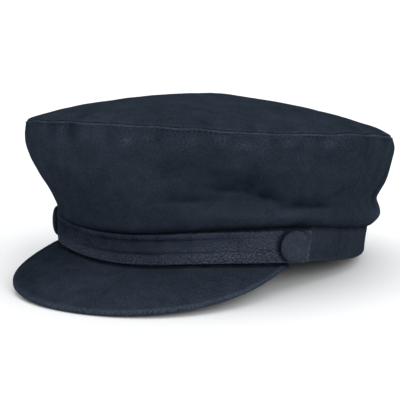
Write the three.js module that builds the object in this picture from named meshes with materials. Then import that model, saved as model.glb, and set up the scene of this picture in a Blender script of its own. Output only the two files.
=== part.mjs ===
import * as THREE from "three";

// A soft breton fisherman cap at rest on a table, in millimetres, +Z up.
// It is first laid out as it is worn: the middle of the band's lower edge at the origin, the peak towards -Y,
// the wearer's left towards +X. Places round the cap are angles from the front, positive to the left.
// The whole cap is then leaned back until the peak and the back of the band share one table top.

// Head band
const headRound = 580; // inside of the band, measured once round
const headRatio = 0.833; // inside width over inside length
const bandWall = 2.5;
const bandFlare = 5; // degrees that the band leans outwards as it rises
const bandTuck = 1.6; // how far its lower edge is drawn in from the sides to the back
const frontDip = 4.7; // how far its lower edge drops over the forehead
const dipSpread = 28.8; // degrees to either side over which the drop fades
const sideDroop = 1.8; // how far it sags again behind each button
const droopPlace = 98; // degrees from the front to the lowest point of that sag
const droopSpread = 24; // degrees to either side over which the sag fades
const hemOverlap = 1.8; // how far the band reaches up inside the crown
const restFlat = 1; // how much of the back edge the table presses flat

// Strap and buttons
const strapWidth = 17;
const strapThick = 2;
const strapLift = 0.3; // lower edge of the strap above the band's lower edge
const strapTail = 8; // degrees of strap past the middle of each button
const buttonPlace = 59.9; // degrees from the front
const buttonDiameter = 17.2;
const buttonDepth = 4.2;
const buttonRise = 0.56; // share of the strap's width at which the buttons sit
const buttonBack = 0.86; // share of the button's radius that its flat back takes
const buttonSkirt = 0.45; // share of its depth that lies behind its widest line

// Crown
const clothWall = 1.6;
const crevice = 2.5; // widest gap between the strap and the crown's lower edge
const sideSeam = 85; // degrees from the front to each side seam
const seamHeight = 67.3; // top seam above the band's lower edge
const seamRiseFront = 2.8; // how much higher the top seam runs in front
const seamRiseLeft = 2.4; // how much higher it runs on the wearer's left
const frontOverhang = 25.5; // top seam beyond the band's face, in front
const sideOverhang = 17.2; // the same at each side
const backSetIn = 2.5; // top seam inside the band's face, at the back
const slumpDepth = 2.3; // how far the slack cloth rolls out over the band
const gatherDepth = 0.7; // how far the cloth puckers under the top seam
const gatherCount = 29;
const domeHeight = 22.2; // middle of the top panel above its seam
const domeInner = 1.3; // powers that give the dome its flat middle and quick edge
const domeOuter = 0.705;

// Peak
const peakLength = 47.9; // from the band to the tip, along the slope
const peakThick = 3;
const peakSpread = 60.6; // degrees from the front to each end
const peakSlope = 26.4; // degrees below level, in front
const peakSideSlope = 6.8; // degrees that it falls away more at its ends
const peakFan = 0.745; // share of the band's turn that the peak's direction follows
const peakCamber = 1.2; // how far the middle of the slope swells up
const peakOutline = { along: 2.64, taper: 1.289 }; // powers that round the peak's outline off

// Gap left between pieces that touch
const clearance = 0.3;

// Lower edge of the crown, by degrees from the front: strap is a share of strapWidth, gap a share of crevice
const edgeRows = [
  { at: 0, strap: 0.965, gap: 0.44 },
  { at: 22, strap: 1, gap: 0.46 },
  { at: 37, strap: 1.02, gap: 0.64 },
  { at: 50, strap: 1.045, gap: 0.82 },
  { at: 62, strap: 1.045, gap: 1.06 },
  { at: 68, strap: 1.01, gap: 0.9 },
  { at: 76, strap: 0.953, gap: 0.5 },
  { at: 85, strap: 0.89, gap: 0.44 },
  { at: 96, strap: 0.83, gap: 0.44 },
  { at: 180, strap: 0.83, gap: 0.44 },
];

// Side wall from its lower edge up: up is a share of the wall's height, lean a share of the overhang,
// roll a share of slumpDepth and gather a share of gatherDepth
const wallRows = [
  { up: 0, lean: 0, roll: 0, gather: 0 },
  { up: 0.06, lean: 0.07, roll: 0.7, gather: 0 },
  { up: 0.13, lean: 0.17, roll: 1, gather: 0 },
  { up: 0.21, lean: 0.29, roll: 0.5, gather: 0 },
  { up: 0.3, lean: 0.44, roll: -0.75, gather: 0 },
  { up: 0.4, lean: 0.6, roll: -0.85, gather: 0 },
  { up: 0.51, lean: 0.76, roll: -0.4, gather: 0 },
  { up: 0.63, lean: 0.9, roll: -0.1, gather: 0.1 },
  { up: 0.75, lean: 1, roll: 0.2, gather: 0.4 },
  { up: 0.86, lean: 1.015, roll: 0.8, gather: 1 },
  { up: 0.94, lean: 1, roll: 0.7, gather: 0.8 },
  { up: 1, lean: 1, roll: 0, gather: 0 },
];

// How much the cloth slumps over the band, by degrees from the front
const slumpRows = [
  { at: -180, share: 0.9 },
  { at: -117, share: 0.85 },
  { at: -80, share: 0.7 },
  { at: -48, share: 0 },
  { at: 8, share: 0 },
  { at: 34, share: 0.9 },
  { at: 60, share: 1.4 },
  { at: 90, share: 1.2 },
  { at: 117, share: 0.75 },
  { at: 180, share: 0.9 },
];

// Strap from its lower to its upper edge: two lengthwise creases and a turned-in upper edge
const strapRows = [
  { across: 0, proud: 0.6 },
  { across: 0.08, proud: 1 },
  { across: 0.3, proud: 1 },
  { across: 0.38, proud: 0.72 },
  { across: 0.46, proud: 1 },
  { across: 0.63, proud: 1 },
  { across: 0.7, proud: 0.66 },
  { across: 0.8, proud: 0.86 },
  { across: 1, proud: 0.6 },
];

// The two buttons: side is +1 on the wearer's left, turn is how many degrees a button faces forwards
const buttonRows = [
  { name: "button_left", side: 1, turn: 8 },
  { name: "button_right", side: -1, turn: 0 },
];

// Fineness of the faceted surfaces
const wallSteps = gatherCount * 4; // round the whole crown
const bandSteps = 96; // round the whole band
const strapSteps = 46;
const peakSteps = 36;
const peakRows = 6;
const rimArcs = [60, 25]; // degrees at which the peak's round rim has a corner
const topSteps = 56;
const topRings = 8;
const buttonSides = 24;
const buttonArcs = 5;

const radians = THREE.MathUtils.degToRad;
const smooth = THREE.MathUtils.smoothstep;

// Half length and half width of the band's inside, from its length once round
const roundFactor = 3 * (1 + headRatio) - Math.sqrt((3 * headRatio + 1) * (headRatio + 3));
const headHalfLength = headRound / (Math.PI * roundFactor);
const bandHalfLength = headHalfLength + bandWall;
const bandHalfWidth = headHalfLength * headRatio + bandWall;

// Oval of the top seam, set forward of the band's middle
const seamHalfLength = bandHalfLength + (frontOverhang - backSetIn) / 2;
const seamHalfWidth = bandHalfWidth + sideOverhang;
const seamForward = (frontOverhang + backSetIn) / 2;

// A column of a table at any place between its rows, on a smooth curve through them
function read(rows, place, column, at) {
  const last = rows.length - 1;
  let i = 0;
  while (i < last - 1 && rows[i + 1][place] < at) i += 1;
  const slope = (a, b) => (rows[b][column] - rows[a][column]) / (rows[b][place] - rows[a][place]);
  const span = rows[i + 1][place] - rows[i][place];
  const t = THREE.MathUtils.clamp((at - rows[i][place]) / span, 0, 1);
  const before = i > 0 ? slope(i - 1, i + 1) : slope(i, i + 1);
  const after = i + 1 < last ? slope(i, i + 2) : slope(i, i + 1);
  const low = rows[i][column];
  const high = rows[i + 1][column];
  const curve = before * span * t * (1 - t) * (1 - t) - after * span * t * t * (1 - t);
  return low + (high - low) * t * t * (3 - 2 * t) + curve;
}

// Point and outward direction on the band's outer oval
function ovalAt(degrees) {
  const a = radians(degrees);
  const point = new THREE.Vector3(bandHalfWidth * Math.sin(a), -bandHalfLength * Math.cos(a), 0);
  const normal = new THREE.Vector3(Math.sin(a) / bandHalfWidth, -Math.cos(a) / bandHalfLength, 0);
  return { point, normal: normal.normalize() };
}

function lowerEdge(degrees) {
  const front = frontDip * Math.exp(-((degrees / dipSpread) ** 2));
  const side = sideDroop * Math.exp(-(((Math.abs(degrees) - droopPlace) / droopSpread) ** 2));
  return -front - side;
}

// The band's outer face, measured out from its oval
function bandOut(degrees, height) {
  const drawnIn = bandTuck * smooth(Math.abs(degrees), buttonPlace, sideSeam);
  return height * Math.tan(radians(bandFlare)) - drawnIn;
}

function bandPoint(degrees, out, height) {
  const { point, normal } = ovalAt(degrees);
  return point.addScaledVector(normal, bandOut(degrees, height) + out).setZ(height);
}

function strapTop(degrees) {
  const wide = strapWidth * read(edgeRows, "at", "strap", Math.abs(degrees));
  return lowerEdge(degrees) + strapLift + wide;
}

function hemHeight(degrees) {
  return strapTop(degrees) + crevice * read(edgeRows, "at", "gap", Math.abs(degrees));
}

function seamAt(degrees) {
  const a = radians(degrees);
  const height = seamHeight + seamRiseFront * Math.cos(a) + seamRiseLeft * Math.sin(a);
  return new THREE.Vector3(
    seamHalfWidth * Math.sin(a),
    -seamForward - seamHalfLength * Math.cos(a),
    height,
  );
}

// A closed piece from its corners and triangles, with its faces turned outwards
function closedGeometry(corners, triangles) {
  const a = new THREE.Vector3();
  let volume = 0;
  for (const [i, j, k] of triangles) {
    volume += a.crossVectors(corners[i], corners[j]).dot(corners[k]);
  }
  const outward = volume > 0 ? triangles : triangles.map(([i, j, k]) => [i, k, j]);
  const geometry = new THREE.BufferGeometry().setFromPoints(corners);
  geometry.setIndex(outward.flat());
  geometry.computeVertexNormals();
  return geometry;
}

// A closed wall through a row of sections, each with as many outer as inner points
function wallGeometry(sections) {
  const rows = sections[0].outer.length;
  const ring = 2 * rows;
  const corners = sections.flatMap(({ outer, inner }) => [...outer, ...[...inner].reverse()]);
  const triangles = [];
  const quad = (a, b, c, d) => triangles.push([a, b, c], [a, c, d]);
  for (let s = 0; s < sections.length - 1; s += 1) {
    for (let i = 0; i < ring; i += 1) {
      const here = s * ring;
      const next = here + ring;
      const j = (i + 1) % ring;
      quad(here + i, here + j, next + j, next + i);
    }
  }
  const end = (sections.length - 1) * ring;
  for (let i = 0; i < rows - 1; i += 1) {
    const back = ring - 1 - i;
    quad(i, back, back - 1, i + 1);
    quad(end + i, end + i + 1, end + back - 1, end + back);
  }
  return closedGeometry(corners, triangles);
}

// Angles from one end to the other, ends included
function spread(from, to, steps) {
  return Array.from({ length: steps + 1 }, (_, i) => from + ((to - from) * i) / steps);
}

// Half the gap at a side seam, as degrees of the band
const seamGap = THREE.MathUtils.radToDeg(clearance / 2 / bandHalfLength);
const frontHalf = { from: -sideSeam + seamGap, to: sideSeam - seamGap };
const backHalf = { from: sideSeam + seamGap, to: 360 - sideSeam - seamGap };

function stepsOf(half, wholeRound) {
  return Math.round((wholeRound * (half.to - half.from)) / 360);
}

// Degrees brought back between -180 and 180
function wrapped(degrees) {
  return degrees > 180 ? degrees - 360 : degrees;
}

// Height of the table top below the worn cap, at a place along Y
function tableHeight(y, pitch) {
  return restFlat + (y - bandBackY) * Math.tan(pitch);
}

const bandBackY = bandPoint(180, 0, 0).y;

function crownSection(degrees) {
  const at = wrapped(degrees);
  const { point, normal } = ovalAt(at);
  const along = new THREE.Vector3(-normal.y, normal.x, 0);
  const seam = seamAt(at);
  const reach = seam.clone().sub(point);
  const hem = hemHeight(at);
  const top = seam.z - clearance / 2;
  const hemOut = bandOut(at, hem + hemOverlap) + clearance + clothWall;
  const slump = slumpDepth * read(slumpRows, "at", "share", at);
  const pucker = gatherDepth * Math.cos(gatherCount * radians(at));
  const profile = wallRows.map(({ up, lean, roll, gather }) => ({
    out: hemOut + (reach.dot(normal) - hemOut) * lean + slump * roll + pucker * gather,
    aside: reach.dot(along) * lean,
    z: hem + (top - hem) * up,
  }));
  const place = ({ aside }, out, z) =>
    point.clone().addScaledVector(normal, out).addScaledVector(along, aside).setZ(z);
  const outer = profile.map((row) => place(row, row.out, row.z));
  const inner = profile.map((row, i) => {
    const below = profile[Math.max(i - 1, 0)];
    const above = profile[Math.min(i + 1, profile.length - 1)];
    const level = i === profile.length - 1;
    const tilt = level ? 0 : Math.atan2(above.out - below.out, above.z - below.z);
    return place(row, row.out - clothWall * Math.cos(tilt), row.z + clothWall * Math.sin(tilt));
  });
  return { outer, inner };
}

function crownWall(half) {
  return wallGeometry(spread(half.from, half.to, stepsOf(half, wallSteps)).map(crownSection));
}

// The top panel: rings that close in from the seam to the middle of the dome
function topPoint(degrees, share) {
  const seam = seamAt(degrees);
  const lift = domeHeight * (1 - share ** domeInner) ** domeOuter;
  const tilt = (seam.z - seamHeight) * share;
  return new THREE.Vector3(
    seam.x * share,
    -seamForward + (seam.y + seamForward) * share,
    seamHeight + tilt + lift + clearance / 2,
  );
}

function topInward(degrees, share) {
  const step = 0.01;
  const turn = topPoint(degrees + 1, share).sub(topPoint(degrees - 1, share));
  if (share === 1) return new THREE.Vector3(turn.y, -turn.x, 0).normalize().negate();
  const climb = topPoint(degrees, Math.max(share - step, 0)).sub(topPoint(degrees, share + step));
  return climb.cross(turn).normalize();
}

function topPanel() {
  const shares = Array.from({ length: topRings }, (_, i) => 1 - (i / topRings) ** 2);
  const corners = [];
  for (const inside of [false, true]) {
    for (const share of shares) {
      for (let s = 0; s < topSteps; s += 1) {
        const degrees = (360 * s) / topSteps;
        const point = topPoint(degrees, share);
        if (inside) point.addScaledVector(topInward(degrees, share), clothWall);
        corners.push(point);
      }
    }
  }
  const middle = topPoint(0, 0);
  const poles = [corners.length, corners.length + 1];
  corners.push(middle, middle.clone().setZ(middle.z - clothWall));
  const inside = topRings * topSteps;
  const triangles = [];
  const quad = (a, b, c, d) => triangles.push([a, b, c], [a, c, d]);
  for (let s = 0; s < topSteps; s += 1) {
    const n = (s + 1) % topSteps;
    for (let r = 0; r < topRings - 1; r += 1) {
      const here = r * topSteps;
      const next = here + topSteps;
      quad(here + s, here + n, next + n, next + s);
      quad(inside + here + s, inside + next + s, inside + next + n, inside + here + n);
    }
    const innermost = (topRings - 1) * topSteps;
    triangles.push([innermost + s, innermost + n, poles[0]]);
    triangles.push([inside + innermost + n, inside + innermost + s, poles[1]]);
    quad(s, inside + s, inside + n, n);
  }
  return closedGeometry(corners, triangles);
}

function bandHalf(half, pitch) {
  const sections = spread(half.from, half.to, stepsOf(half, bandSteps)).map((degrees) => {
    const at = wrapped(degrees);
    const top = hemHeight(at) + hemOverlap;
    const side = (out) => {
      const foot = bandPoint(at, out, lowerEdge(at));
      foot.z = Math.max(foot.z, tableHeight(foot.y, pitch));
      return [foot, bandPoint(at, out, top)];
    };
    return { outer: side(0), inner: side(-bandWall) };
  });
  return wallGeometry(sections);
}

function strapPiece() {
  const end = buttonPlace + strapTail;
  const sections = spread(-end, end, strapSteps).map((degrees) => {
    const bottom = lowerEdge(degrees) + strapLift;
    const height = (across) => bottom + (strapTop(degrees) - bottom) * across;
    const face = (out) => (row) => bandPoint(degrees, out(row), height(row.across));
    return {
      outer: strapRows.map(face((row) => clearance + strapThick * row.proud)),
      inner: strapRows.map(face(() => clearance)),
    };
  });
  return wallGeometry(sections);
}

// One section of the peak, from under the band's edge to the round rim
function peakSection(share) {
  const degrees = share * peakSpread;
  const { point, normal } = ovalAt(degrees);
  const turn = Math.atan2(normal.x, -normal.y) * peakFan;
  const ahead = new THREE.Vector3(Math.sin(turn), -Math.cos(turn), 0);
  const full = (1 - Math.abs(share) ** peakOutline.along) ** peakOutline.taper;
  const length = peakLength * full;
  const slope = radians(peakSlope + peakSideSlope * share * share);
  const edge = lowerEdge(degrees);
  const half = peakThick / 2;
  const root = point.clone().addScaledVector(normal, clearance - bandWall);
  root.z = edge - clearance - half;
  const rim = point.clone().addScaledVector(ahead, length * Math.cos(slope));
  rim.z = edge - length * Math.sin(slope) - (clearance + half) * (1 - full);
  const run = rim.clone().sub(root);
  const level = Math.hypot(run.x, run.y);
  const out = run.clone().setZ(0).normalize();
  const fall = Math.atan2(-run.z, level);
  const reach = Math.hypot(level, run.z) - half;
  const across = new THREE.Vector3(out.x * Math.sin(fall), out.y * Math.sin(fall), Math.cos(fall));
  const down = new THREE.Vector3(out.x * Math.cos(fall), out.y * Math.cos(fall), -Math.sin(fall));
  const place = (along, rise) => root.clone().addScaledVector(down, along).addScaledVector(across, rise);
  const sheet = (side) => {
    const points = spread(0, 1, peakRows).map((s) =>
      place(reach * s, side * half + 4 * peakCamber * full * s * (1 - s)),
    );
    const arc = rimArcs.map((a) =>
      place(reach + half * Math.cos(radians(a)), side * half * Math.sin(radians(a))),
    );
    return [...points, ...arc];
  };
  return { outer: sheet(1), inner: sheet(-1) };
}

const peakSections = spread(-1, 1, peakSteps).map(peakSection);

// Lean of the worn cap once its peak and the back of its band stand on the table
const restPitch = Math.max(
  ...peakSections.flatMap(({ inner, outer }) =>
    [...inner, ...outer].map((p) => Math.atan2(restFlat - p.z, bandBackY - p.y)),
  ),
);

// A covered button: a flat back, a rounded edge and a low dome
function buttonPiece() {
  const radius = buttonDiameter / 2;
  const back = radius * buttonBack;
  const skirt = buttonDepth * buttonSkirt;
  const profile = [new THREE.Vector2(0, 0)];
  for (const a of [0, 45]) {
    const out = back + (radius - back) * Math.sin(radians(a));
    profile.push(new THREE.Vector2(out, skirt * (1 - Math.cos(radians(a)))));
  }
  for (const a of spread(0, 90, buttonArcs)) {
    const out = a === 90 ? 0 : radius * Math.cos(radians(a));
    profile.push(new THREE.Vector2(out, skirt + (buttonDepth - skirt) * Math.sin(radians(a))));
  }
  return new THREE.LatheGeometry(profile, buttonSides);
}

function cloth(color, roughness) {
  return new THREE.MeshStandardMaterial({ color, roughness, metalness: 0 });
}

function addPiece(group, name, geometry, material) {
  const mesh = new THREE.Mesh(geometry, material);
  mesh.name = name;
  group.add(mesh);
  return mesh;
}

// A button on the strap; one that is turned on its shank stands off until its back clears the strap
function addButton(group, { name, side, turn }, material) {
  const button = addPiece(group, name, buttonPiece(), material);
  const degrees = side * buttonPlace;
  const bottom = lowerEdge(degrees) + strapLift;
  const height = bottom + (strapTop(degrees) - bottom) * buttonRise;
  const flare = radians(bandFlare);
  const { normal } = ovalAt(degrees);
  const straight = normal.multiplyScalar(Math.cos(flare)).setZ(-Math.sin(flare));
  const standOff = strapThick + 2 * clearance + (buttonDiameter / 2) * buttonBack * Math.sin(radians(turn));
  const facing = straight.clone().applyAxisAngle(new THREE.Vector3(0, 0, 1), radians(-side * turn));
  button.position.copy(bandPoint(degrees, 0, height)).addScaledVector(straight, standOff);
  button.quaternion.setFromUnitVectors(new THREE.Vector3(0, 1, 0), facing);
}

const worn = new THREE.Group();
addPiece(worn, "crown_top", topPanel(), cloth(0x252c37, 0.92));
addPiece(worn, "crown_front", crownWall(frontHalf), cloth(0x242b36, 0.92));
addPiece(worn, "crown_back", crownWall(backHalf), cloth(0x242b36, 0.92));
addPiece(worn, "band_front", bandHalf(frontHalf, restPitch), cloth(0x232a34, 0.93));
addPiece(worn, "band_back", bandHalf(backHalf, restPitch), cloth(0x232a34, 0.93));
addPiece(worn, "strap", strapPiece(), cloth(0x262d38, 0.9));
addPiece(worn, "peak", wallGeometry(peakSections), cloth(0x272e39, 0.9));
for (const row of buttonRows) addButton(worn, row, cloth(0x262d38, 0.9));

// At rest: leaned back, then moved so that the middle of its bottom is the origin
worn.rotation.x = -restPitch;
const cap = new THREE.Group();
cap.add(worn);
const box = new THREE.Box3().setFromObject(cap, true);
worn.position.set(0, -(box.min.y + box.max.y) / 2, -box.min.z);
worn.position.x = -(box.min.x + box.max.x) / 2;

export default cap;
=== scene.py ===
import math

import bpy
import numpy as np
from mathutils import Matrix, Vector, noise


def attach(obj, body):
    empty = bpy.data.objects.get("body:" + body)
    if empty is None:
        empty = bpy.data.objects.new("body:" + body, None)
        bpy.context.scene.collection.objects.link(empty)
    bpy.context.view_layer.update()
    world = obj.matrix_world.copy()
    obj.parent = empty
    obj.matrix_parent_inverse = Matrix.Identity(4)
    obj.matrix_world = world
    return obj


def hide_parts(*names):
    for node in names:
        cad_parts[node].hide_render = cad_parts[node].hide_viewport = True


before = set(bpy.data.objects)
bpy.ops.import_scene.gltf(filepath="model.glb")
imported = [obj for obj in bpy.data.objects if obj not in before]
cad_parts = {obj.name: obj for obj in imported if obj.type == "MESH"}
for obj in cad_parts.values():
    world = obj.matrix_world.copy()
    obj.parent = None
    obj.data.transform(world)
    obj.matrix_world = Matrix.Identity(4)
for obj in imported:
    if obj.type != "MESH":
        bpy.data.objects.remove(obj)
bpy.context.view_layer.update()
print("frame loaded,", len(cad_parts), "nodes")

# Camera, a long lens just above the table, in front of the cap on the wearer's left
camera = {
    "place": (0.398981, -0.653893, 0.170715),
    "turn": (80.2598, 0.2435, 31.3515),  # degrees about X, Y and Z
    "lens": 119.7475,
    "film": 36,
}


def setCamera():
    turn = [math.radians(a) for a in camera["turn"]]
    bpy.ops.object.camera_add(location=camera["place"], rotation=turn)
    eye = bpy.context.object
    eye.name = "camera"
    eye.data.lens = camera["lens"]
    eye.data.sensor_width = camera["film"]
    eye.data.clip_end = 100
    bpy.context.scene.camera = eye


# Table top and studio lights; each light is aimed at the middle of the cap
stage = {
    "size": 60,
    "drop": 0.0002,  # keeps the table clear of what lies on it
    "colour": (0.88, 0.88, 0.88),
    "sky": (0.97, 0.985, 1.0),
    "skyLow": 0.72,  # strength at the horizon and overhead
    "skyHigh": 1.5,
    "aim": (0, 0, 0.05),
}
lights = [
    {"name": "key_light", "place": (1.7, -1.1, 0.85), "size": 1.0, "power": 17},
    {"name": "front_light", "place": (-1.2, -1.4, 0.8), "size": 1.2, "power": 1},
    {"name": "back_light", "place": (-0.4, 1.8, 1.0), "size": 1.5, "power": 3},
]


def setStage():
    bpy.ops.mesh.primitive_plane_add(size=stage["size"], location=(0, 0, -stage["drop"]))
    floor = bpy.context.object
    floor.name = "table_top"
    paper = bpy.data.materials.new("pale_table")
    paper.use_nodes = True
    shader = paper.node_tree.nodes["Principled BSDF"]
    shader.inputs["Base Color"].default_value = (*stage["colour"], 1)
    shader.inputs["Roughness"].default_value = 0.85
    shader.inputs["Specular IOR Level"].default_value = 0.1
    floor.data.materials.append(paper)
    world = bpy.data.worlds.new("studio")
    world.use_nodes = True
    sky = world.node_tree.nodes["Background"]
    sky.inputs["Color"].default_value = (*stage["sky"], 1)
    links, nodes = world.node_tree.links, world.node_tree.nodes
    way, split, fade = (nodes.new("ShaderNode" + kind) for kind in ("TexCoord", "SeparateXYZ", "MapRange"))
    fade.inputs["To Min"].default_value = stage["skyLow"]
    fade.inputs["To Max"].default_value = stage["skyHigh"]
    links.new(way.outputs["Generated"], split.inputs["Vector"])
    links.new(split.outputs["Z"], fade.inputs["Value"])
    links.new(fade.outputs["Result"], sky.inputs["Strength"])
    bpy.context.scene.world = world
    for light in lights:
        aim = (Vector(stage["aim"]) - Vector(light["place"])).to_track_quat("-Z", "Y").to_euler()
        bpy.ops.object.light_add(type="AREA", location=light["place"], rotation=aim)
        lamp = bpy.context.object
        lamp.name = light["name"]
        lamp.data.shape = "DISK"
        lamp.data.size = light["size"]
        lamp.data.energy = light["power"]
    bpy.context.scene.view_settings.view_transform = "Standard"


setCamera()
setStage()
print("camera, table and lights set")

# Sizes are in millimetres, as the cap is worn: the middle of the band's lower edge at the origin, the peak
# towards -Y, the wearer's left towards +X. Places round it are degrees from the front, positive to the left.
rest = {
    "lean": 6.465667,  # degrees, as the cap is set down on the table
    "shift": (-0.40800, 19.86314, 10.42607),
}
seamGap = 0.3  # between pieces that lie on each other


def atRest(points):
    lean = math.radians(rest["lean"])
    x, y, z = points.T
    down = (x, y * math.cos(lean) + z * math.sin(lean), z * math.cos(lean) - y * math.sin(lean))
    return (np.stack(down, -1) + rest["shift"]) * 0.001


def smoothRead(table, column, at):  # a table's column at any place, along a smooth curve through its rows
    place, value = np.array(table["at"], float), np.array(table[column], float)
    slope = np.empty_like(value)
    slope[1:-1] = (value[2:] - value[:-2]) / (place[2:] - place[:-2])
    slope[0] = (value[1] - value[0]) / (place[1] - place[0])
    slope[-1] = (value[-1] - value[-2]) / (place[-1] - place[-2])
    row = np.clip(np.searchsorted(place, at) - 1, 0, len(place) - 2)
    span = place[row + 1] - place[row]
    t = np.clip((at - place[row]) / span, 0, 1)
    rise = (value[row + 1] - value[row]) * t * t * (3 - 2 * t)
    bend = span * t * (1 - t) * (slope[row] * (1 - t) - slope[row + 1] * t)
    return value[row] + rise + bend


def easeIn(value, low, high):
    t = np.clip((value - low) / (high - low), 0, 1)
    return t * t * (3 - 2 * t)


def bell(value, wide):
    return np.exp(-((value / wide) ** 2))


def wrapped(degrees):
    return (degrees + 180) % 360 - 180


def ripple(degrees, count, phase):  # waves of uneven length and height round the cap
    turn = np.radians(degrees)
    uneven = 1.3 * np.sin(2 * turn + phase) + 0.9 * np.sin(5 * turn + 2.1 * phase)
    height = 0.62 + 0.38 * np.sin(7 * turn + 3.3 * phase)
    return np.cos(count * turn + uneven) * height


def cloud(points, size, seed):  # soft unevenness, from -1 to 1, in lumps of that size
    return np.array([noise.noise(Vector(p) / size + Vector((seed, 0, 0))) for p in points]) * 1.8


# Waves round the cap: how many in a turn, and a shift
waves = {
    "seam": (23, 5.1),
    "gather": (29, 1),
    "pucker": (53, 4.2),
    "wrinkle": (71, 2.6),
}
# Lumps of the cloth: their size and a seed
lumps = {
    "wall": (34, 3.7),
    "wallCrumple": (11, 9.1),
    "wallThread": (19, 4.4),
    "dome": (46, 21.3),
    "domeCrumple": (15, 5.9),
    "band": (16, 2.2),
    "strap": (13, 6.4),
    "peak": (22, 12.5),
}


# The head band's oval, flare and lower edge, which every other piece follows
headBand = {
    "round": 580,  # inside, once round
    "ratio": 0.833,
    "wall": 2.5,
    "flare": 5,
    "tuck": 1.6,
    "frontDip": 4.7,
    "dipSpread": 28.8,
    "sideDroop": 1.8,
    "droopPlace": 98,
    "droopSpread": 24,
    "hemOverlap": 1.8,
    "restFlat": 1,
    "roundEdge": 1.1,
    "stitchUp": 4,  # row of topstitching above the lower edge
    "stitchSink": 0.22,
    "stitchWide": 0.5,
    "fold": 0.12,  # how proud its turned lower edge stands
    "foldPlace": 2,
    "foldWide": 1.2,
    "unevenness": 0.25,
    "seamSink": 1.6,  # depth of the groove where it meets the crown
    "seamSinkWide": 1.3,
    "sideSink": 0.1,
    "strapEnd": (66, 70),  # degrees over which the strap gives way to the bare band
    "footWear": 0.35,
    "hemShade": 0.6,
}
sideSeam = 85
buttonPlace = 59.9

ratio = headBand["ratio"]
roundFactor = 3 * (1 + ratio) - math.sqrt((3 * ratio + 1) * (ratio + 3))
insideHalfLength = headBand["round"] / (math.pi * roundFactor)
bandHalfLength = insideHalfLength + headBand["wall"]
bandHalfWidth = insideHalfLength * ratio + headBand["wall"]
bandMmPerDegree = math.radians(bandHalfLength + bandHalfWidth) / 2


def ovalAt(degrees):  # point on the band's outer oval and the way out of it
    turn = np.radians(degrees)
    x, y = bandHalfWidth * np.sin(turn), -bandHalfLength * np.cos(turn)
    nx, ny = np.sin(turn) / bandHalfWidth, -np.cos(turn) / bandHalfLength
    size = np.hypot(nx, ny)
    return x, y, nx / size, ny / size


def lowerEdge(degrees):
    front = headBand["frontDip"] * bell(degrees, headBand["dipSpread"])
    side = headBand["sideDroop"] * bell(np.abs(degrees) - headBand["droopPlace"], headBand["droopSpread"])
    return -front - side


def bandOut(degrees, height):
    drawnIn = headBand["tuck"] * easeIn(np.abs(degrees), buttonPlace, sideSeam)
    return height * math.tan(math.radians(headBand["flare"])) - drawnIn


def bandFacing(degrees):  # straight out of the flared band
    nx, ny = ovalAt(degrees)[2:]
    flare = math.radians(headBand["flare"])
    return np.stack([nx * math.cos(flare), ny * math.cos(flare), np.full_like(nx, -math.sin(flare))], -1)


def bandPoint(degrees, out, height):
    x, y, nx, ny = ovalAt(degrees)
    reach = bandOut(degrees, height) + out
    return np.stack([x + nx * reach, y + ny * reach, height + 0 * x], -1)


# The strap's height sets the crown's lower edge above it
strap = {
    "width": 17,
    "thick": 2,
    "lift": 0.3,
    "hang": 0.45,  # how far its lower fold bellies below that
    "tail": 8,  # degrees past the middle of each button
    "roundEdge": 0.7,
    "unevenness": 0.14,
}
# The crown's lower edge, in degrees from the front, above the strap and the crevice between them
crownEdge = {
    "at": [-180, -96, -85, -66, -50, -37, -24, -14, 0, 22, 37, 50, 62, 69, 76, 85, 96, 120, 180],
    "strap": [0.83, 0.83, 0.88, 0.93, 0.92, 0.89, 0.86, 0.87, 0.91, 0.95, 0.97, 1, 1.03, 1.04, 1.05, 1.05,
              1.01, 0.92, 0.83],  # share of the strap's width
    "gap": [0.44, 0.4, 0.3, 0.15, 0.05, 0.03, 0.05, 0.16, 0.3, 0.36, 0.52, 0.66, 0.7, 0.56, 0.3, 0.15,
            0.25, 0.4, 0.44],  # share of the crevice
}

crown = {
    "wall": 1.6,
    "crevice": 2.5,
    "seamHeight": 67.3,
    "riseFront": 2.8,
    "riseLeft": 2.4,
    "frontOverhang": 25.5,
    "sideOverhang": 17.2,
    "backSetIn": 2.5,
    "slump": 2.3,
    "gather": 0.9,
    "domeGather": 0.8,  # share of the walls' gather
    "domeHeight": 22.2,
    "domeInner": 1.3,  # the powers that shape the dome's curve
    "domeOuter": 0.705,
    "seamWave": 0.3,
    "sewnGap": 0.03,  # between the top panel and the walls
    "ridge": 0.1,  # how proud the top seam's fold stands
    "ridgePlace": 0.6,  # below the seam's top
    "ridgeWide": 0.6,
    "stitchPlace": 1.9,
    "stitchSink": 0.14,
    "stitchWide": 0.55,
    "edgeOut": 0.1,  # how far the top panel's edge stands out, and how far up
    "edgeUp": 0.15,
    "edgeUpWide": 1.3,
    "topRound": 0.2,  # of the top panel's edge
    "foldRound": 0.3,  # of the side wall's turned edge
    "unevenness": 0.55,
    "wallCrumple": 0.25,
    "domeCrumple": 0.3,
    "wrinkle": 0.22,  # small wrinkles and puckers beside the top seam
    "pucker": 0.25,
    "finePucker": 0.6,
    "hemRoll": 1.3,  # how far it turns in
    "hemRollHigh": 4.5,
    "sideGap": 0.02,
    "sideSink": 0.16,  # depth of the pressed seams at the sides
    "sideSinkWide": 0.7,
}
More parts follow.
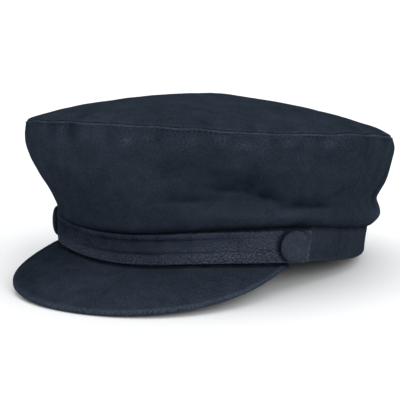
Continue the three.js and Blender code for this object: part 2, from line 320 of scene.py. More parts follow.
# Wear and painted light of the crown: lighter where it is rubbed, painted highlights on the seam's ridge, the
# dome's edge and the puckers' crests, painted shade above the hem, in the stitch groove and in the creases
crownWearAndPaintedLight = {
    "ridge": 1,
    "ridgePlace": 0.4,
    "ridgeWide": 0.6,
    "groove": 0.5,
    "grooveWide": 0.5,
    "hem": 0.5,
    "hemWide": 2.6,
    "hemCalm": (-46, 16, 0.8),  # degrees where it is weaker, half width there and by what share
    "puckers": 0.16,
    "puckersCalm": (-48, 20, 0.7),
    "creases": 0.28,
    "topEdge": 0.4,
    "topEdgeWide": 1.1,
    "topPuckers": 0.12,
}
wallProfile = {
    "at": [0, 0.06, 0.13, 0.21, 0.3, 0.4, 0.51, 0.63, 0.75, 0.86, 0.94, 1],  # share of the wall's height
    "lean": [0, 0.07, 0.17, 0.29, 0.44, 0.6, 0.76, 0.9, 1, 1.015, 1, 1],  # share of the overhang
    "roll": [0, 0.7, 1, 0.5, -0.75, -0.85, -0.4, -0.1, 0.2, 0.8, 0.7, 0],  # share of the slump
    "gather": [0, 0, 0, 0, 0, 0, 0, 0.1, 0.4, 1, 0.8, 0],
}
# Round the cap, in degrees from the front: how far the hem turns in, how far the top seam sags in
# millimetres and how much the wall slumps
hemTurn = {
    "at": [-180, -85, -60, -30, -10, 10, 60, 75, 100, 180],
    "share": [0.5, 0.4, 0.1, 0.1, 0.7, 1, 1, 0.5, 0.5, 0.5],
}
seamSag = {
    "at": [-180, -60, -24, 10, 30, 46, 65, 84, 110, 180],
    "drop": [0, 0.3, -0.1, 0.5, 1.0, 1.6, 0.5, -1.0, -0.9, 0],
}
slumpRound = {
    "at": [-180, -117, -80, -48, 8, 34, 60, 90, 117, 180],
    "share": [0.9, 0.85, 0.7, 0, 0, 0.9, 1.4, 1.2, 0.75, 0.9],
}
# Creases and swells of the side wall: at is degrees from the front, up a share of the height, long and wide
# are half sizes, tilt is degrees up to the wearer's left and deep is how far the cloth goes in. Slack makes
# a fold soft above and sharp below, shade is how strongly it is painted into the cloth's colour, as painted
# shade in a crease and a painted highlight on a swell, and clearOfHem keeps it off the hem.
wallFolds = [
    {"at": 25, "up": 0.31, "long": 13, "wide": 2.2, "tilt": 1, "deep": 1.4, "slack": 0.6},
    {"at": 39, "up": 0.42, "long": 13, "wide": 3.0, "tilt": -2, "deep": 1.3, "slack": 0.6},
    {"at": 51, "up": 0.34, "long": 14, "wide": 3.0, "tilt": -14, "deep": 2.0, "slack": 0.6},
    {"at": 46, "up": 0.5, "long": 20, "wide": 5.0, "tilt": -8, "deep": 0.8, "slack": 0.4},
    {"at": 65, "up": 0.245, "long": 17, "wide": 2.6, "tilt": 2, "deep": 2.1, "slack": 0.6},
    {"at": 79, "up": 0.4, "long": 7, "wide": 2.4, "tilt": 30, "deep": 0.9, "slack": 0.4},
    {"at": 52, "up": 0.13, "long": 30, "wide": 3.4, "tilt": 0, "deep": -0.9, "shade": 0.5},
    {"at": 62, "up": 0.04, "long": 10, "wide": 1.6, "tilt": 0, "deep": 0.8},
    {"at": 31, "up": 0.15, "long": 8, "wide": 2.6, "tilt": 8, "deep": -0.4},
    {"at": -44, "up": 0.28, "long": 28, "wide": 17, "tilt": 0, "deep": 2.7, "shade": 0, "clearOfHem": 5},
    {"at": -42, "up": 0.13, "long": 12, "wide": 3, "tilt": 0, "deep": 0.5, "shade": 0},
    {"at": 107, "up": 0.44, "long": 12, "wide": 3.8, "tilt": 66, "deep": 1.9},
    {"at": 112, "up": 0.33, "long": 22, "wide": 2.8, "tilt": -4, "deep": 0.6, "slack": 0.3},
    {"at": 28, "up": 0.62, "long": 34, "wide": 9, "tilt": 0, "deep": 0.5},
    {"at": 112, "up": 0.13, "long": 24, "wide": 5.5, "tilt": 0, "deep": -1.7},
    {"at": 118, "up": 0.5, "long": 22, "wide": 8, "tilt": 0, "deep": -0.9},
    {"at": 88, "up": 0.85, "long": 9, "wide": 2.2, "tilt": 74, "deep": 0.6},
    {"at": 10, "up": 0.86, "long": 3.4, "wide": 2.4, "tilt": 12, "deep": -0.9, "shade": 2},
    {"at": 16, "up": 0.89, "long": 3.0, "wide": 2.0, "tilt": -10, "deep": -0.7},
    {"at": 28, "up": 0.87, "long": 5.0, "wide": 2.6, "tilt": 14, "deep": -0.8, "shade": 2},
    {"at": 42.5, "up": 0.86, "long": 5.5, "wide": 2.8, "tilt": -8, "deep": -0.9, "shade": 2},
    {"at": 55, "up": 0.9, "long": 4.6, "wide": 2.4, "tilt": 6, "deep": -0.8, "shade": 2},
    {"at": 68, "up": 0.9, "long": 5.0, "wide": 2.6, "tilt": 10, "deep": -0.8, "shade": 2},
    {"at": 36, "up": 0.8, "long": 5.0, "wide": 2.4, "tilt": 20, "deep": 0.4},
    {"at": 60, "up": 0.82, "long": 6.0, "wide": 2.4, "tilt": -14, "deep": 0.4},
]

# Soft dents of the dome: across and back from the band's middle, half size and depth
domeDents = [
    {"across": -62, "back": -81, "wide": 17, "deep": 0.6},
    {"across": 49, "back": -9, "wide": 15, "deep": 1.8},
]

seamHalfLength = bandHalfLength + (crown["frontOverhang"] - crown["backSetIn"]) / 2
seamHalfWidth = bandHalfWidth + crown["sideOverhang"]
seamForward = (crown["frontOverhang"] + crown["backSetIn"]) / 2
seamMmPerDegree = math.radians(seamHalfLength + seamHalfWidth) / 2


def strapTop(degrees):
    wide = strap["width"] * smoothRead(crownEdge, "strap", degrees)
    return lowerEdge(degrees) + strap["lift"] + wide


def hemHeight(degrees):
    return strapTop(degrees) + crown["crevice"] * smoothRead(crownEdge, "gap", degrees)


def seamAt(degrees):
    turn = np.radians(degrees)
    height = crown["seamHeight"] + crown["riseFront"] * np.cos(turn) + crown["riseLeft"] * np.sin(turn)
    height = height - smoothRead(seamSag, "drop", wrapped(degrees))
    height = height + crown["seamWave"] * ripple(degrees, *waves["seam"])
    return seamHalfWidth * np.sin(turn), -seamForward - seamHalfLength * np.cos(turn), height


def foldsAt(degrees, up, height, measure="deep"):
    total = np.zeros_like(up)
    for fold in wallFolds:
        along = wrapped(degrees - fold["at"]) * seamMmPerDegree
        above = (up - fold["up"]) * height
        tilt = math.radians(fold["tilt"])
        a = along * math.cos(tilt) + above * math.sin(tilt)
        b = above * math.cos(tilt) - along * math.sin(tilt)
        wide = fold["wide"] * (1 + fold.get("slack", 0) * np.tanh(b / fold["wide"]))
        much = fold["deep"] * (fold.get("shade", 1) if measure == "shade" else 1)
        if "clearOfHem" in fold:
            much = much * easeIn(up * height, -2, fold["clearOfHem"])
        total -= much * bell(a, fold["long"]) * bell(b, wide)
    return total


def crownWall(degrees, up):
    at = wrapped(degrees)
    x, y, nx, ny = ovalAt(at)
    seamX, seamY, seamZ = seamAt(at)
    reachOut = (seamX - x) * nx + (seamY - y) * ny
    reachAside = (seamY - y) * nx - (seamX - x) * ny
    hem = hemHeight(at)
    height = seamZ - crown["sewnGap"] / 2 - hem
    hemOut = bandOut(at, hem + headBand["hemOverlap"]) + seamGap + crown["wall"]
    lean = smoothRead(wallProfile, "lean", up)
    slump = crown["slump"] * smoothRead(slumpRound, "share", at) * smoothRead(wallProfile, "roll", up)
    pucker = crown["gather"] * ripple(at, *waves["gather"]) * smoothRead(wallProfile, "gather", up)
    out = hemOut + (reachOut - hemOut) * lean + slump + pucker + foldsAt(at, up, height)
    aside = reachAside * lean
    return np.stack([x + nx * out - ny * aside, y + ny * out + nx * aside, hem + height * up], -1)


def crownTop(degrees, share):
    x, y, z = seamAt(degrees)
    lift = crown["domeHeight"] * (1 - np.clip(share, 0, 1) ** crown["domeInner"]) ** crown["domeOuter"]
    tilt = (z - crown["seamHeight"]) * share
    forward = -seamForward + (y + seamForward) * share
    return np.stack([x * share, forward, crown["seamHeight"] + tilt + lift + crown["sewnGap"] / 2], -1)


# Flat panels of cloth: a grid of two layers, laid on a form afterwards
def deselect():
    bpy.ops.object.select_all(action="DESELECT")


def giveTwoLayers(panel, name):
    panel.name = name
    panel.data.name = name
    thickness = panel.modifiers.new("thickness", "SOLIDIFY")
    thickness.thickness = 1
    thickness.offset = -1
    bpy.ops.object.modifier_apply(modifier=thickness.name)
    return panel


def flatPanel(name, columns, rows):
    deselect()
    bpy.ops.mesh.primitive_grid_add(x_subdivisions=columns, y_subdivisions=rows, size=1)
    return giveTwoLayers(bpy.context.object, name)


def roundPanel(name, sides, rings):
    deselect()
    bpy.ops.mesh.primitive_circle_add(vertices=sides, radius=1, fill_type="NGON")
    panel = bpy.context.object
    bpy.ops.object.mode_set(mode="EDIT")
    bpy.ops.mesh.select_all(action="SELECT")
    for _ in range(rings - 2):
        bpy.ops.mesh.inset(thickness=1 / rings)
    bpy.ops.mesh.poke()
    bpy.ops.object.mode_set(mode="OBJECT")
    return giveTwoLayers(panel, name)


def readPlaces(mesh):
    place = np.empty(3 * len(mesh.vertices))
    mesh.vertices.foreach_get("co", place)
    return place.reshape(-1, 3)


def normalsOf(surface, a, b, stepA, stepB):
    alongA = surface(a + stepA, b) - surface(a - stepA, b)
    alongB = surface(a, b + stepB) - surface(a, b - stepB)
    normal = np.cross(alongA, alongB)
    return normal / np.linalg.norm(normal, axis=1, keepdims=True)


def lengths(points):
    return np.concatenate([[0], np.cumsum(np.linalg.norm(np.diff(points, axis=0), axis=1))])


def roundedWall(outer, normal, layer, fromEdge, thick, roundEdge, detail=0):
    # layer is 0 on the outer face and 1 on the inner one, and both close in on each other at the rounded edge
    full = np.sqrt(1 - (1 - np.clip(fromEdge / roundEdge, 0, 1)) ** 2)
    inward = thick / 2 + (layer - 0.5) * thick * full
    raised = detail * (1 - layer) * full
    return outer + normal * (raised - inward)[:, None]


weld = 2e-6  # metres; joins the two layers where they meet at a rim
# limits of each piece's wear and painted shade and highlights
wearAndPaintedLightRange = (-0.6, 1)


def layOn(panel, points, cloth, wearAndPaintedLight):
    mesh = panel.data
    mesh.vertices.foreach_set("co", atRest(points).ravel())
    while mesh.uv_layers:
        mesh.uv_layers.remove(mesh.uv_layers[0])
    corners = np.empty(len(mesh.loops), np.int32)
    mesh.loops.foreach_get("vertex_index", corners)
    mesh.uv_layers.new(name="cloth").data.foreach_set("uv", (cloth[corners] * 0.001).ravel())
    # wear and painted shade and highlights, which the cloth's colour follows
    mesh.attributes.new("wearAndPaintedLight", "FLOAT", "POINT").data.foreach_set("value", np.clip(wearAndPaintedLight, *wearAndPaintedLightRange))
    bpy.ops.object.mode_set(mode="EDIT")
    bpy.ops.mesh.select_all(action="SELECT")
    bpy.ops.mesh.remove_doubles(threshold=weld)
    bpy.ops.object.mode_set(mode="OBJECT")
    bpy.ops.object.shade_smooth()


def finishPiece(piece, material, slotName, *nodes):
    piece.data.materials.clear()
    piece.data.materials.append(material)
    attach(piece, "root")
    if nodes:
        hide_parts(*nodes)
    print("made", piece.name, len(piece.data.polygons), "faces")


# Navy cotton twill: diagonal ribs, uneven yarns, soft fading, and wear with painted shade and highlights laid
# in by each piece, lighter on folds; lengths are in millimetres
twill = {
    "rib": 0.95,
    "ribAngle": 52,
    "ribBump": 0.09,
    "yarn": 0.6,
    "yarnBump": 0.11,
    "slub": (0.45, 3.2),  # across and along an uneven yarn
    "fleck": 0.8,
    "crumple": 9,
    "crumpleBump": 0.22,
    "fade": 42,
    "ribTone": 0.34,  # how far each goes from the deep to the light navy
    "yarnTone": (-0.04, 0.36),
    "slubTone": (-0.04, 0.28),
    "mottleTone": (-0.15, 0.15),
    "wearAndPaintedLightTone": 0.75,
    "fadeTone": (0.86, 1.14),
    "fleckOnWearAndPaintedLight": (0.5, 3.4, -0.2, 0.3),  # flecks grow from low to high as the wear and painted light do
    "roughness": 0.9,
    "roughnessSpread": (-0.08, 0.06),
    "sheen": 0.006,
    "sheenRoughness": 0.45,
    "sheenTint": (0.55, 0.68, 0.95),
}


def addNode(tree, kind, inputs=(), **settings):
    node = tree.nodes.new(kind)
    for name, value in settings.items():
        setattr(node, name, value)
    for name, value in dict(inputs).items():
        node.inputs[name].default_value = value
    return node


def scaled(tree, source, size, turn=0):  # coordinates in units of that size, turned by that many degrees
    sizes = size if isinstance(size, tuple) else (size, size)
    scale = (1000 / sizes[0], 1000 / sizes[1], 1000 / sizes[0])
    node = addNode(tree, "ShaderNodeMapping", {"Scale": scale, "Rotation": (0, 0, math.radians(turn))})
    tree.links.new(source, node.inputs["Vector"])
    return node.outputs["Vector"]


def grain(tree, source, detail=2.0):
    node = addNode(tree, "ShaderNodeTexNoise", {"Scale": 1.0, "Detail": detail, "Roughness": 0.6})
    tree.links.new(source, node.inputs["Vector"])
    return node.outputs["Fac"]


def spreadOut(tree, source, low, high, fromLow=0.3, fromHigh=0.7):
    inputs = {"From Min": fromLow, "From Max": fromHigh, "To Min": low, "To Max": high}
    node = addNode(tree, "ShaderNodeMapRange", inputs)
    tree.links.new(source, node.inputs["Value"])
    return node.outputs["Result"]


def combine(tree, operation, a, b):
    node = addNode(tree, "ShaderNodeMath", operation=operation)
    for place, value in enumerate((a, b)):
        if isinstance(value, (int, float)):
            node.inputs[place].default_value = value
        else:
            tree.links.new(value, node.inputs[place])
    return node.outputs["Value"]


def twillMaterial(name, deep, lightNavy, seed=0, ribAngle=None, crumple=1.0, vertical=0.0, fleck=0.1):
    material = bpy.data.materials.new(name)
    material.use_nodes = True
    tree = material.node_tree
    shader = tree.nodes["Principled BSDF"]
    shader.inputs["Specular IOR Level"].default_value = 0
    shader.inputs["Sheen Weight"].default_value = twill["sheen"]
    shader.inputs["Sheen Roughness"].default_value = twill["sheenRoughness"]
    shader.inputs["Sheen Tint"].default_value = (*twill["sheenTint"], 1)
    uv = addNode(tree, "ShaderNodeUVMap", uv_map="cloth").outputs["UV"]
    angle = 90 - (twill["ribAngle"] if ribAngle is None else ribAngle)
    waveInputs = {"Scale": 0.1 * math.pi, "Distortion": 0.9, "Detail": 2.0, "Detail Scale": 1.4}
    ribs = addNode(tree, "ShaderNodeTexWave", waveInputs, wave_type="BANDS", bands_direction="X")
    tree.links.new(scaled(tree, uv, twill["rib"], angle), ribs.inputs["Vector"])
    yarns = grain(tree, scaled(tree, uv, twill["yarn"]))
    slubs = grain(tree, scaled(tree, uv, twill["slub"]))
    mottle = grain(tree, scaled(tree, uv, twill["crumple"]), 3.0)
    onCap = addNode(tree, "ShaderNodeTexCoord").outputs["Object"]
    fade = grain(tree, scaled(tree, onCap, twill["fade"], seed * 40), 2.0)
    # colour: ribs and yarns between a deep and a light navy, moved by the wear and painted light
    rib = combine(tree, "MULTIPLY", ribs.outputs["Fac"], twill["ribTone"])
    speck = combine(tree, "ADD", rib, spreadOut(tree, yarns, *twill["yarnTone"]))
    slubLow, slubHigh = twill["slubTone"]
    speck = combine(tree, "ADD", speck, spreadOut(tree, slubs, slubLow, slubHigh + vertical))
    speck = combine(tree, "ADD", speck, spreadOut(tree, mottle, *twill["mottleTone"]))
    flecks = grain(tree, scaled(tree, uv, twill["fleck"]), 0.0)
    # the pieces' wear and painted shade and highlights, which lighten or deepen the navy
    wearAndPaintedLight = addNode(tree, "ShaderNodeAttribute", attribute_name="wearAndPaintedLight").outputs["Fac"]
    fleckTone = spreadOut(tree, flecks, -0.3 * fleck, fleck, 0.4, 0.7)
    fleckTone = combine(tree, "MULTIPLY", fleckTone, spreadOut(tree, wearAndPaintedLight, *twill["fleckOnWearAndPaintedLight"]))
    speck = combine(tree, "ADD", speck, fleckTone)
    speck = combine(tree, "ADD", speck, combine(tree, "MULTIPLY", wearAndPaintedLight, twill["wearAndPaintedLightTone"]))
    mix = addNode(tree, "ShaderNodeMix", data_type="RGBA", clamp_factor=False)
    mix.inputs["A"].default_value = (*deep, 1)
    mix.inputs["B"].default_value = (*lightNavy, 1)
    tree.links.new(speck, mix.inputs["Factor"])
    faded = addNode(tree, "ShaderNodeHueSaturation")
    tree.links.new(spreadOut(tree, fade, *twill["fadeTone"]), faded.inputs["Value"])
    tree.links.new(mix.outputs["Result"], faded.inputs["Color"])
    tree.links.new(faded.outputs["Color"], shader.inputs["Base Color"])
    smooth, rough = (twill["roughness"] + spread for spread in twill["roughnessSpread"])
    tree.links.new(spreadOut(tree, yarns, smooth, rough), shader.inputs["Roughness"])
    # relief: soft crumples under the ribs and yarns
    depth = twill["crumpleBump"] * crumple * 0.001
    crumples = addNode(tree, "ShaderNodeBump", {"Strength": 1.0, "Distance": depth})
    tree.links.new(mottle, crumples.inputs["Height"])
    weave = combine(tree, "ADD", combine(tree, "MULTIPLY", ribs.outputs["Fac"], twill["ribBump"]),
                    combine(tree, "MULTIPLY", yarns, twill["yarnBump"] * 2))
    weave = combine(tree, "ADD", weave, combine(tree, "MULTIPLY", slubs, vertical * 0.4))
    relief = addNode(tree, "ShaderNodeBump", {"Strength": 1.0, "Distance": 0.001})
    tree.links.new(weave, relief.inputs["Height"])
    tree.links.new(crumples.outputs["Normal"], relief.inputs["Normal"])
    tree.links.new(relief.outputs["Normal"], shader.inputs["Normal"])
    return material


crownCloth = twillMaterial("crown_twill", deep=(0.0060, 0.0096, 0.0143), lightNavy=(0.0250, 0.0332, 0.0465),
                           seed=1, fleck=0.19)
bandCloth = twillMaterial("band_twill", deep=(0.0073, 0.0110, 0.0162), lightNavy=(0.0294, 0.0380, 0.0530),
                          seed=2, crumple=0.5)
strapCloth = twillMaterial("strap_twill", deep=(0.0069, 0.0112, 0.0176), lightNavy=(0.0385, 0.0458, 0.0640),
                           seed=3, crumple=0.4, fleck=0.4)
peakCloth = twillMaterial("peak_twill", deep=(0.0080, 0.0117, 0.0180), lightNavy=(0.0312, 0.0400, 0.0572),
                          seed=4, crumple=0.25, fleck=0.16)
buttonCloth = twillMaterial("button_cloth", deep=(0.0087, 0.0122, 0.0176), lightNavy=(0.0330, 0.0414, 0.0566),
                            seed=5, ribAngle=90, crumple=0.2, vertical=0.3, fleck=0.15)
print("twill materials made")

# Crown walls: the front and back halves meet at the side seams
crownGrid = {"columns": 320, "rows": 112, "bunch": 0.45}


def gathersAt(degrees):  # of the cloth that the top seam holds
    return ripple(degrees, *waves["gather"]) + crown["finePucker"] * ripple(degrees, *waves["pucker"])


def seamRelief(degrees, fromSeam, away, wide):
    wrinkles = crown["wrinkle"] * ripple(degrees, *waves["wrinkle"]) * bell(fromSeam - away, wide)
    return wrinkles + crown["pucker"] * gathersAt(degrees) * bell(fromSeam, 3)


def calmNear(degrees, at, wide, share):  # 1, but less by that share near a place
    return 1 - share * bell(degrees - at, wide)


def wallHalf(name, fromDegrees, toDegrees):
    panel = flatPanel(name + "_cloth", crownGrid["columns"], crownGrid["rows"])
    across, up, layer = (readPlaces(panel.data) * (1, 1, -1)).T
    across, up = across + 0.5, up + 0.5
    up = up - crownGrid["bunch"] * np.sin(2 * np.pi * up) / (2 * np.pi)  # rows lie closer at both edges
    degrees = fromDegrees + (toDegrees - fromDegrees) * across
    outer = crownWall(degrees, up)
    normal = normalsOf(crownWall, degrees, up, 0.2, 0.003)
    middle = np.full(200, (fromDegrees + toDegrees) / 2)
    height = lengths(crownWall(middle, np.linspace(0, 1, 200)))
    turns = np.linspace(fromDegrees, toDegrees, 200)
    around = lengths(crownWall(turns, np.full(200, 0.5)))
    cloth = np.stack([np.interp(degrees, turns, around), np.interp(up, np.linspace(0, 1, 200), height)], -1)
    fromHem, fromTop = cloth[:, 1], height[-1] - cloth[:, 1]
    fromSide = np.minimum(across, 1 - across) * around[-1]
    uneven = cloud(outer, *lumps["wall"]) * easeIn(fromHem, 2, 14) * easeIn(fromTop, 3, 14)
    detail = crown["unevenness"] * uneven
    crumples = crown["wallCrumple"] * cloud(outer, *lumps["wallCrumple"])
    detail += crumples * easeIn(fromHem, 1, 8) * easeIn(fromTop, 2.5, 6)
    ridge = bell(fromTop - crown["ridgePlace"], crown["ridgeWide"])
    stitched = bell(fromTop - crown["stitchPlace"], crown["stitchWide"])
    detail += crown["ridge"] * ridge - crown["stitchSink"] * stitched
    detail += seamRelief(degrees, fromTop, 5, 3.5)
    under = 1 - np.clip(fromHem / crown["hemRollHigh"], 0, 1)
    turnedIn = smoothRead(hemTurn, "share", wrapped(degrees))
    detail -= crown["hemRoll"] * (1 - np.sqrt(1 - under * under)) * turnedIn
    detail -= crown["sideSink"] * bell(fromSide, crown["sideSinkWide"]) * easeIn(fromTop, 2, 8)
    edge = np.minimum(fromHem, fromTop * crown["wall"] / 2 / crown["foldRound"])
    points = roundedWall(outer, normal, layer, edge, crown["wall"], crown["wall"] / 2, detail)
    level = seamAt(degrees)[2] - crown["sewnGap"] / 2  # the wall ends level at the seam
    points[:, 2] = np.where(fromTop < 0.01, level, np.minimum(points[:, 2], level))
    # the top seam's ridge is lighter: rubbed edge and painted highlight; painted shade above the hem
    wearAndPaintedLight = crownWearAndPaintedLight["ridge"] * bell(fromTop - crownWearAndPaintedLight["ridgePlace"], crownWearAndPaintedLight["ridgeWide"])
    wearAndPaintedLight -= crownWearAndPaintedLight["hem"] * bell(fromHem, crownWearAndPaintedLight["hemWide"]) * calmNear(degrees, *crownWearAndPaintedLight["hemCalm"])
    # painted highlights, with some wear, on the crests of the gathers beside the top seam
    nearSeam = bell(fromTop - 6, 5) + bell(fromTop, 1.5)
    calm = calmNear(degrees, *crownWearAndPaintedLight["puckersCalm"])
    wearAndPaintedLight += crownWearAndPaintedLight["puckers"] * gathersAt(degrees) * nearSeam * calm
    # painted shade in the creases and painted highlights on the swells
    wearAndPaintedLight += crownWearAndPaintedLight["creases"] * foldsAt(wrapped(degrees), up, height[-1], "shade")
    # painted shade in the stitch groove below the ridge, in patches
    patchy = easeIn(cloud(outer, *lumps["wallThread"]), -0.5, 0.3)
    wearAndPaintedLight -= crownWearAndPaintedLight["groove"] * bell(fromTop - crown["stitchPlace"], crownWearAndPaintedLight["grooveWide"]) * patchy
    layOn(panel, points, cloth, wearAndPaintedLight * (1 - layer))
    finishPiece(panel, crownCloth, "crown_twill", name)
    return panel


halfGap = math.degrees(crown["sideGap"] / 2 / bandHalfLength)
crownFront = wallHalf("crown_front", -sideSeam + halfGap, sideSeam - halfGap)
crownBack = wallHalf("crown_back", sideSeam + halfGap, 360 - sideSeam - halfGap)

# Top panel: a low slack dome that meets the walls level along the top seam
topDisc = {"sides": 360, "rings": 64, "bunch": 0.3}  # bunch brings the rings closer at the edge


def topPanel():
    panel = roundPanel("crown_top_cloth", topDisc["sides"], topDisc["rings"])
    x, y, layer = (readPlaces(panel.data) * (1, 1, -1)).T
    flatShare = np.clip(np.hypot(x, y), 0, 1)
    share = flatShare + topDisc["bunch"] * np.sin(np.pi * flatShare) / np.pi * flatShare
    share = np.clip(share, 0, 1)
    degrees = np.degrees(np.arctan2(x, -y))
    rim = 1 + crown["edgeOut"] / seamHalfWidth
    safe = np.clip(share * rim, 0.004, 1)
    outer = crownTop(degrees, share * rim)
    normal = -normalsOf(crownTop, degrees, safe, 0.5, 0.002)
    normal[share < 0.01] = (0, 0, 1)
    fromEdge = (1 - share) * (seamHalfLength + seamHalfWidth) / 2
    cloth = outer[:, :2].copy()
    detail = crown["edgeUp"] * bell(fromEdge, crown["edgeUpWide"])
    swell = crown["gather"] * crown["domeGather"] * ripple(degrees, *waves["gather"])
    detail += swell * bell(fromEdge - 7, 7)
    detail += seamRelief(degrees, fromEdge, 4, 4)
    detail += crown["unevenness"] * cloud(outer, *lumps["dome"]) * easeIn(fromEdge, 3, 25)
    detail += crown["domeCrumple"] * cloud(outer, *lumps["domeCrumple"]) * easeIn(fromEdge, 2, 10)
    for dent in domeDents:
        away = np.hypot(outer[:, 0] - dent["across"], outer[:, 1] - dent["back"])
        detail -= dent["deep"] * bell(away, dent["wide"])
    points = roundedWall(outer, normal, layer, fromEdge, crown["wall"], crown["topRound"], detail)
    points[:, 2] = np.maximum(points[:, 2], seamAt(degrees)[2] + crown["sewnGap"] / 2)
    # the dome's edge at the seam is lighter: rubbed edge and painted highlight; painted highlights on the
    # gathers
    wearAndPaintedLight = crownWearAndPaintedLight["topEdge"] * bell(fromEdge, crownWearAndPaintedLight["topEdgeWide"])
    wearAndPaintedLight += crownWearAndPaintedLight["topPuckers"] * gathersAt(degrees) * bell(fromEdge - 6, 6)
    layOn(panel, points, cloth, wearAndPaintedLight * (1 - layer))
    finishPiece(panel, crownCloth, "crown_twill", "crown_top")
    return panel


crownTopPanel = topPanel()

# Head band: two halves, their lower edge folded round and topstitched
bandGrid = {"columns": 260, "rows": 36}


def tableHeight(y):  # the table top below the worn cap, at a place along Y
    backY = bandPoint(np.array([180.0]), 0, np.array([0.0]))[0, 1]
    return headBand["restFlat"] + (y - backY) * math.tan(math.radians(rest["lean"]))


def bandHalf(name, fromDegrees, toDegrees):
    panel = flatPanel(name + "_cloth", bandGrid["columns"], bandGrid["rows"])
    across, up, layer = (readPlaces(panel.data) * (1, 1, -1)).T
    across, up = across + 0.5, up + 0.5
    up = up + 0.5 * (up * up - up)  # rows lie closer at the lower edge
    degrees = wrapped(fromDegrees + (toDegrees - fromDegrees) * across)
    foot = lowerEdge(degrees)
    footY = bandPoint(degrees, 0, foot)[:, 1]
    foot = np.maximum(foot, tableHeight(footY))
    top = hemHeight(degrees) + headBand["hemOverlap"]
    height = foot + (top - foot) * up
    outer = bandPoint(degrees, 0, height)
    normal = bandFacing(degrees)
    cloth = np.stack([(across - 0.5) * (toDegrees - fromDegrees) * bandMmPerDegree, height - foot], -1)
    fromFoot = height - foot
    bare = easeIn(np.abs(degrees), *headBand["strapEnd"])  # the strap covers the rest
    detail = -headBand["stitchSink"] * bell(fromFoot - headBand["stitchUp"], headBand["stitchWide"]) * bare
    fold = headBand["fold"] * bell(fromFoot - headBand["foldPlace"], headBand["foldWide"])
    uneven = headBand["unevenness"] * cloud(outer, *lumps["band"]) * easeIn(fromFoot, 3, 9)
    detail += (fold + uneven) * bare
    underHem = hemHeight(degrees) - height
    openHem = (1 - 0.75 * bare) * (0.25 + 0.75 * easeIn(degrees, -22, 2))
    detail -= headBand["seamSink"] * bell(np.maximum(underHem - 0.4, 0), headBand["seamSinkWide"]) * openHem
    fromSide = np.minimum(across, 1 - across) * abs(toDegrees - fromDegrees) * bandMmPerDegree
    detail -= headBand["sideSink"] * bell(fromSide, 0.5)
    edge = np.minimum(fromFoot, top - height)
    points = roundedWall(outer, normal, layer, edge, headBand["wall"], headBand["roundEdge"], detail)
    wearAndPaintedLight = headBand["footWear"] * bell(fromFoot - 0.5, 0.9) * bare
    # painted shade on the band under the crown's hem
    wearAndPaintedLight -= headBand["hemShade"] * bell(np.maximum(underHem - 0.2, 0), 1.6) * (0.3 + 0.7 * openHem)
    layOn(panel, points, cloth, wearAndPaintedLight * (1 - layer))
    finishPiece(panel, bandCloth, "band_twill", name)
    return panel


bandFront = bandHalf("band_front", -sideSeam + halfGap, sideSeam - halfGap)
bandBack = bandHalf("band_back", sideSeam + halfGap, 360 - sideSeam - halfGap)

# Strap: folded and pressed, with two lengthwise creases and a turned-in upper edge
strapFace = {
    "at": [0, 0.08, 0.28, 0.335, 0.375, 0.47, 0.6, 0.72, 0.76, 0.8, 0.88, 1],  # share of its width, upwards
    "proud": [0.7, 1, 1.04, 0.98, 0.6, 0.96, 1.0, 1.0, 0.9, 0.45, 0.82, 0.68],  # share of its thickness
}
creaseDepth = {
    "at": [-68, -40, -15, 0, 15, 30, 45, 68],
    "upper": [0.1, 0.15, 0.4, 1, 1, 0.6, 0.25, 0.2],
    "lower": [0.1, 0.15, 0.5, 1, 1, 0.8, 0.5, 0.3],
    "shade": [0.5, 1.25, 1.15, 0.9, 0.55, 0.3, 0.05, -0.1],  # how much painted shade the strap's upper part gets under the crown's overhang
}
# Wear and painted light of the strap: worn edges, painted shade under the crown's overhang, in the creases
# and round the buttons, painted light on its lower middle and at the far end's top edge, a painted highlight
# on the tail's edge
strapWearAndPaintedLight = {
    "top": 0.1,
    "foot": 0.3,
    "ends": 0.3,
    "upperPart": 0.4,
    "upperCrease": 0.5,
    "lowerCrease": 0.4,
    "lowerPart": 0.2,
    "byButton": 0.6,
    "byButtonWide": 0.9,
    "pastButtonWide": 1.5,  # wider by this past the button
    "tailEdge": 0.5,
    "palePatch": 0.3,
    "palePlace": -46,
    "paleWide": 11,
}
strapGrid = {"columns": 260, "rows": 64}
# The buttons' sizes, which the strap's shade beside them follows
button = {
    "diameter": 17.2,
    "depth": 4.2,
    "rise": 0.56,
    "back": 0.86,
    "skirt": 0.45,
    "sides": 64,
    "rings": 40,
    "pleats": 26,
    "pleatDepth": 0.16,
}


